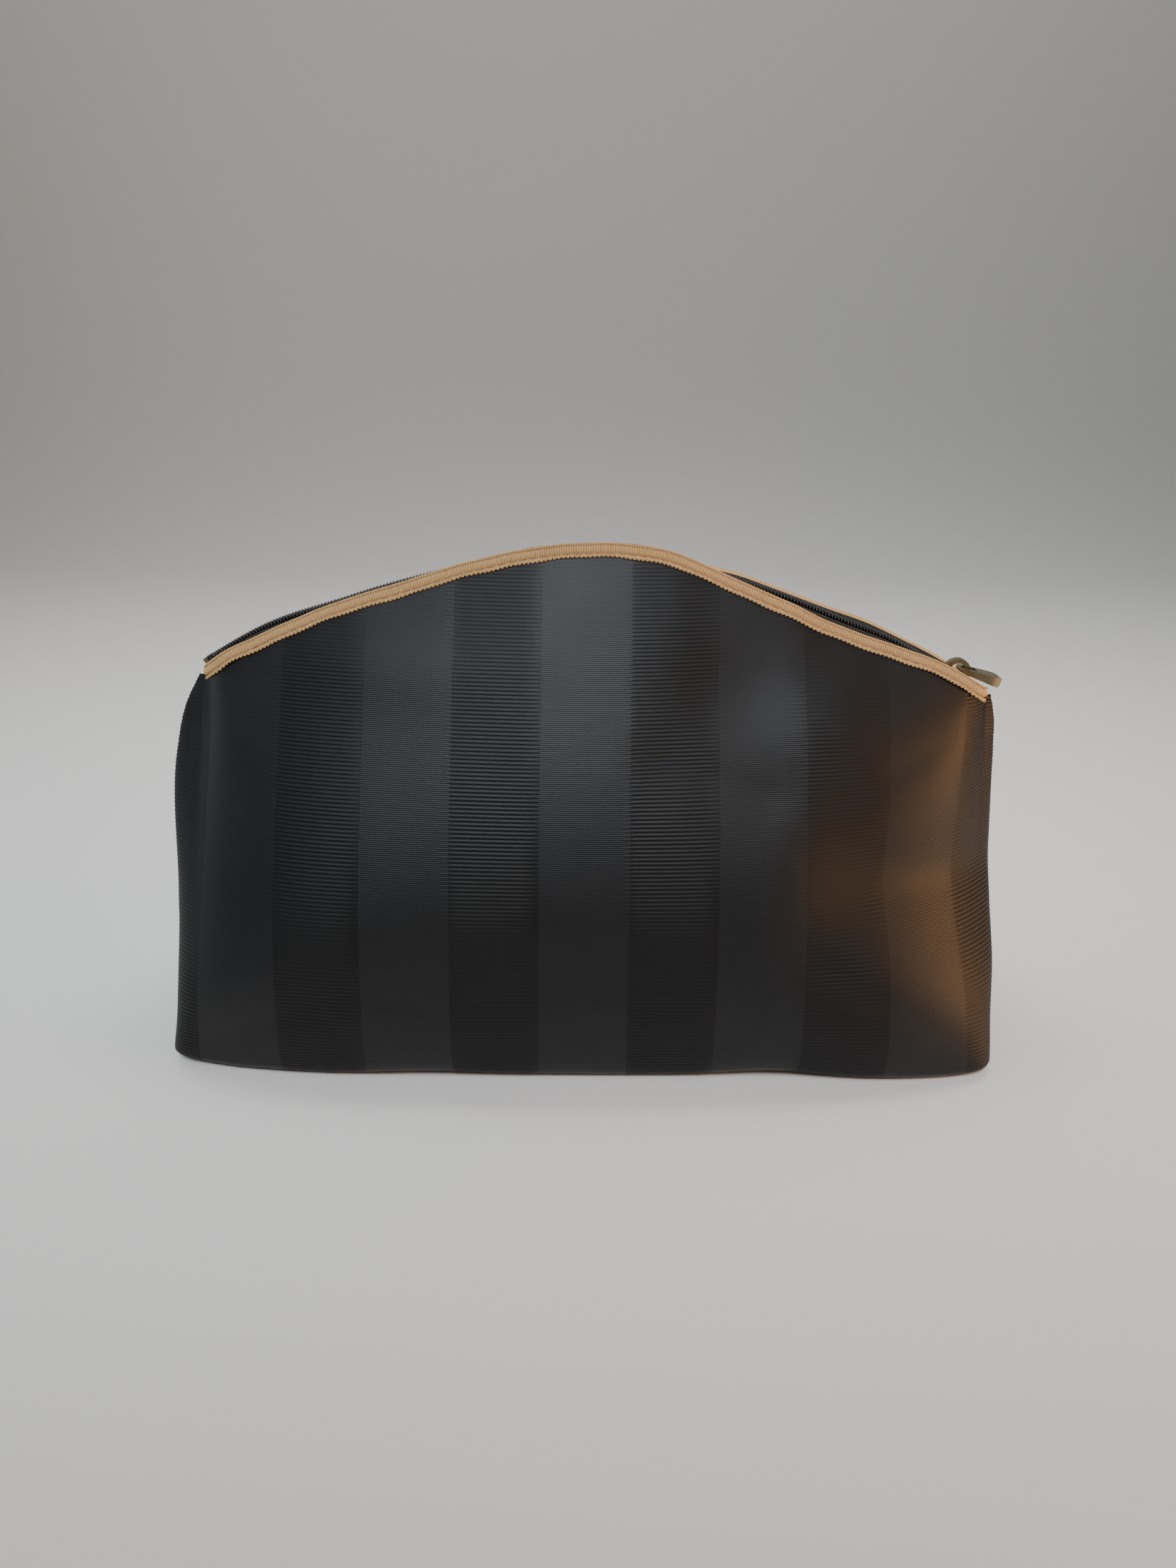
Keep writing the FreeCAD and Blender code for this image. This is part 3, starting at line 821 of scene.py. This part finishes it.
def thread_material():
    n = Nodes("thread")
    vector = n.place()
    fibre = n.noise(vector, 3200.0, 2.0)
    n.set("Base Color", n.mix(fibre, (0.22, 0.12, 0.065), (0.40, 0.25, 0.15)))
    n.set("Roughness", n.math("ADD", 0.6, n.math("MULTIPLY", fibre, 0.2)))
    n.set("Sheen Weight", 0.2)
    n.set("Normal", n.bump(fibre, 0.00006, 0.6))
    return n.material


def coil_material():
    """Black nylon with a soft gloss and dust between the turns."""
    n = Nodes("nylon")
    dust = n.noise(n.place(), 900.0, 3.0)
    n.set("Base Color", n.mix(n.math("MULTIPLY", dust, 0.5), (0.008, 0.008, 0.009), (0.035, 0.034, 0.032)))
    n.set("Roughness", n.math("ADD", 0.24, n.math("MULTIPLY", dust, 0.18)))
    n.set("Specular IOR Level", 0.38)
    n.set("Normal", n.bump(dust, 0.00003, 0.4))
    return n.material


def tape_material(name="tape"):
    """Black herringbone tape."""
    n = Nodes(name)
    vector = n.place()
    split = n.add("ShaderNodeSeparateXYZ")
    n.link(vector, split.inputs[0])
    x, z = split.outputs[0], split.outputs[2]
    weave = n.math("MULTIPLY", n.wave(n.math("ADD", x, z), 0.0006), n.wave(n.math("SUBTRACT", x, z), 0.0006))
    fuzz = n.noise(vector, 1500.0, 3.0)
    n.set("Base Color", n.mix(fuzz, (0.011, 0.011, 0.012), (0.022, 0.022, 0.023)))
    n.set("Roughness", n.math("ADD", 0.7, n.math("MULTIPLY", fuzz, 0.15)))
    n.set("Sheen Weight", 0.2)
    n.set("Normal", n.bump(weave, 0.00012, 0.8))
    return n.material


def brass_material():
    """Polished antique brass, darker and duller in patches."""
    n = Nodes("antique_brass")
    vector = n.place()
    patch = n.noise(vector, 340.0, 5.0, 0.6)
    fine = n.noise(vector, 5200.0, 2.0)
    n.set("Base Color", n.mix(patch, (0.22, 0.185, 0.105), (0.46, 0.395, 0.250)))
    n.set("Metallic", 1.0)
    n.set("Roughness", n.math("ADD", 0.22, n.math("MULTIPLY", patch, 0.22)))
    n.set("Normal", n.bump(fine, 0.00002, 0.25))
    return n.material


# ---- build ----
def dress(piece, material):
    piece.data.materials.clear()
    piece.data.materials.append(material)
    return piece


def lip(piece):
    """Bakes the piece's placement into its mesh."""
    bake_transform(piece)
    return piece


def seam_strip(name, path, across, width, thickness):
    """A bound seam allowance: a thin strip that stands off the lining along a path."""
    path = np.array(path, float)
    across = np.array(across, float)
    along = np.gradient(path, axis=0)
    along /= np.linalg.norm(along, axis=1, keepdims=True)
    side = np.cross(along, across)
    side /= np.linalg.norm(side, axis=1, keepdims=True)
    rings = []
    for far, out in ((0, -1), (0.86, -1), (1.0, -0.5), (1.0, 0.5), (0.86, 1), (0, 1)):
        rings.append(path + across * far * width + side * out * thickness / 2)
    return fix_normals(sweep(name, np.array(rings).transpose(1, 0, 2)))


def build_cloth():
    jacquard, lining = jacquard_material(), lining_material()
    places = column_places()
    coarse = np.linspace(-FRONT_COLUMNS, FRONT_COLUMNS, 45)
    for side in SIDES:
        panel = cloth_piece(side + "_jacquard", side, 0.0, PANEL_THICK, RIB_PITCH / ROWS_PER_RIB,
                            places, 26, True, PANEL_TRIM)
        dress(panel, jacquard)
        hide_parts(side + "_panel")
        lip(panel)
        inner = cloth_piece(side + "_lining_cloth", side, PANEL_THICK + LINING_GAP, LINING_THICK, 0.003,
                            coarse, 8, False, LINING_TRIM)
        dress(inner, lining)
        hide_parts(side + "_lining")
        lip(inner)


def build_mouth():
    ribbon, thread, nylon, woven = ribbon_material(), thread_material(), coil_material(), tape_material()
    for side in SIDES:
        for piece, material, slot, node in (
            (binding(side), ribbon, "ribbon", "_binding"),
            (coil(side), nylon, "coil", "_coil"),
            (tape(side), woven, "zip_tape", "_zip_tape"),
            (stitches(side + "_edge_stitches", side, *EDGE_STITCHES), thread, "thread", "_binding_thread"),
            (stitches(side + "_zip_stitches", side, *ZIP_STITCHES), thread, "thread", "_zip_thread"),
        ):
            dress(piece, material)
            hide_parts(side + node)
            lip(piece)


def build_metal():
    brass = brass_material()
    for node in ("slider", "puller", "front_end_stop", "back_end_stop", "tail_stop"):
        piece = frame["nodes"][node]
        piece.data.materials.clear()
        piece.data.materials.append(brass)
        bevel = piece.modifiers.new("soft_edges", "BEVEL")
        bevel.width = PULLER_BEVEL if node == "puller" else METAL_BEVEL
        bevel.segments = 4
        bevel.limit_method = "ANGLE"


def add_seam_tape(name, path, across, width, woven, node):
    strip = seam_strip(name, path, across, width, SEAM_TAPE_THICK)
    dress(strip, woven)
    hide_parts(node)
    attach(strip, "bag")


def build_seam_tapes():
    woven = tape_material("seam_woven")
    inset = PANEL_THICK + LINING_THICK + SEAM_CLEAR
    for name, sign in (("left", -1), ("right", 1)):
        seam = []
        for z in np.linspace(SIDE_SEAM_FOOT, SIDE_SEAM_TOP, 20):
            x = panel_row("front", z, inset, 300)[0]
            seam.append((x[0] if sign < 0 else x[-1], 0.0, z))
        add_seam_tape(name + "_seam_binding", seam, (-sign, 0, 0), SEAM_TAPE_WIDE, woven, name + "_seam_tape")
        corner_x = sign * (HALF_WIDTH - CORNER_SEAM_INSET)
        line = [(corner_x, y, inset) for y in np.linspace(-CORNER_SEAM_REACH, CORNER_SEAM_REACH, 12)]
        add_seam_tape(name + "_corner_binding", line, (0, 0, 1), CORNER_TAPE_WIDE, woven,
                      name + "_corner_seam_tape")
    line = [(x, 0.0, inset) for x in np.linspace(-BASE_SEAM_REACH, BASE_SEAM_REACH, 30)]
    add_seam_tape("base_seam_binding", line, (0, 0, 1), SEAM_TAPE_WIDE, woven, "base_seam_tape")


def build_floor():
    """A pale floor that sweeps up into a wall behind the bag."""
    n = Nodes("floor")
    n.set("Base Color", (0.80, 0.79, 0.77))
    n.set("Roughness", 0.75)
    near, far, bend, height, half = -0.9, 0.75, 0.40, 1.6, 1.6
    profile = [(near, 0.0), (far, 0.0)]
    for turn in np.linspace(0.1, math.pi / 2, 14):
        profile.append((far + bend * math.sin(turn), bend - bend * math.cos(turn)))
    profile.append((far + bend, height))
    verts = [(x, y, z) for y, z in profile for x in (-half, half)]
    faces = [[2 * i, 2 * i + 1, 2 * i + 3, 2 * i + 2] for i in range(len(profile) - 1)]
    floor = shade_smooth(add_mesh("floor", verts, faces))
    floor.data.materials.append(n.material)


def area_light(name, place, target, size, power, colour, spread=180):
    data = bpy.data.lights.new(name, "AREA")
    data.shape = "RECTANGLE"
    data.size, data.size_y = size
    data.energy = power
    data.color = colour
    data.spread = math.radians(spread)
    lamp = bpy.data.objects.new(name, data)
    lamp.location = place
    lamp.rotation_euler = (Vector(target) - Vector(place)).to_track_quat("-Z", "Y").to_euler()
    bpy.context.scene.collection.objects.link(lamp)


def build_world():
    """A dim studio, drawn pale where the camera sees past the floor."""
    world = bpy.data.worlds.new("studio")
    world.use_nodes = True
    tree = world.node_tree
    dim = tree.nodes["Background"]
    dim.inputs[0].default_value = (0.85, 0.92, 1.0, 1)
    dim.inputs[1].default_value = 0.10
    pale = tree.nodes.new("ShaderNodeBackground")
    pale.inputs[0].default_value = (0.50, 0.49, 0.48, 1)
    path = tree.nodes.new("ShaderNodeLightPath")
    both = tree.nodes.new("ShaderNodeMixShader")
    tree.links.new(path.outputs["Is Camera Ray"], both.inputs[0])
    tree.links.new(dim.outputs[0], both.inputs[1])
    tree.links.new(pale.outputs[0], both.inputs[2])
    tree.links.new(both.outputs[0], tree.nodes["World Output"].inputs[0])
    bpy.context.scene.world = world


def build_light():
    bag = (0, 0, 0.07)
    area_light("front_top", (-0.05, -0.72, 0.86), (0, 0, 0.12), (0.75, 0.40), 1.2, (0.88, 0.94, 1.0), 42)
    area_light("top", (0.05, 0.38, 1.00), (0.05, 0.25, 0), (1.3, 0.5), 1.7, (1.0, 0.99, 0.97), 90)
    area_light("wall_wash", (0, 0.25, 1.15), (0, 1.15, 0.40), (1.5, 0.2), 4.6, (1.0, 0.99, 0.97))
    area_light("left", (-0.85, 0.03, 0.30), bag, (0.5, 0.5), 0.9, (0.90, 0.95, 1.0))
    area_light("right", (0.82, -0.25, 0.13), bag, (0.50, 0.36), 1.7, (1.0, 0.50, 0.20), 90)


def build_camera():
    """The camera stands in front and above, 20.6 degrees down, with a wide lens and a slight roll."""
    data = bpy.data.cameras.new("camera")
    data.sensor_width = 36.0
    data.lens = 27.03
    data.clip_start = 0.01
    camera = bpy.data.objects.new("camera", data)
    pitch = math.radians(90 - 20.6)
    roll = math.radians(0.6)
    place = Matrix.Translation((0, -0.3435, 0.205))
    camera.matrix_world = place @ Matrix.Rotation(pitch, 4, "X") @ Matrix.Rotation(roll, 4, "Z")
    bpy.context.scene.collection.objects.link(camera)
    bpy.context.scene.camera = camera


build_camera()
build_world()
build_light()
build_floor()
build_cloth()
build_mouth()
build_metal()
build_seam_tapes()
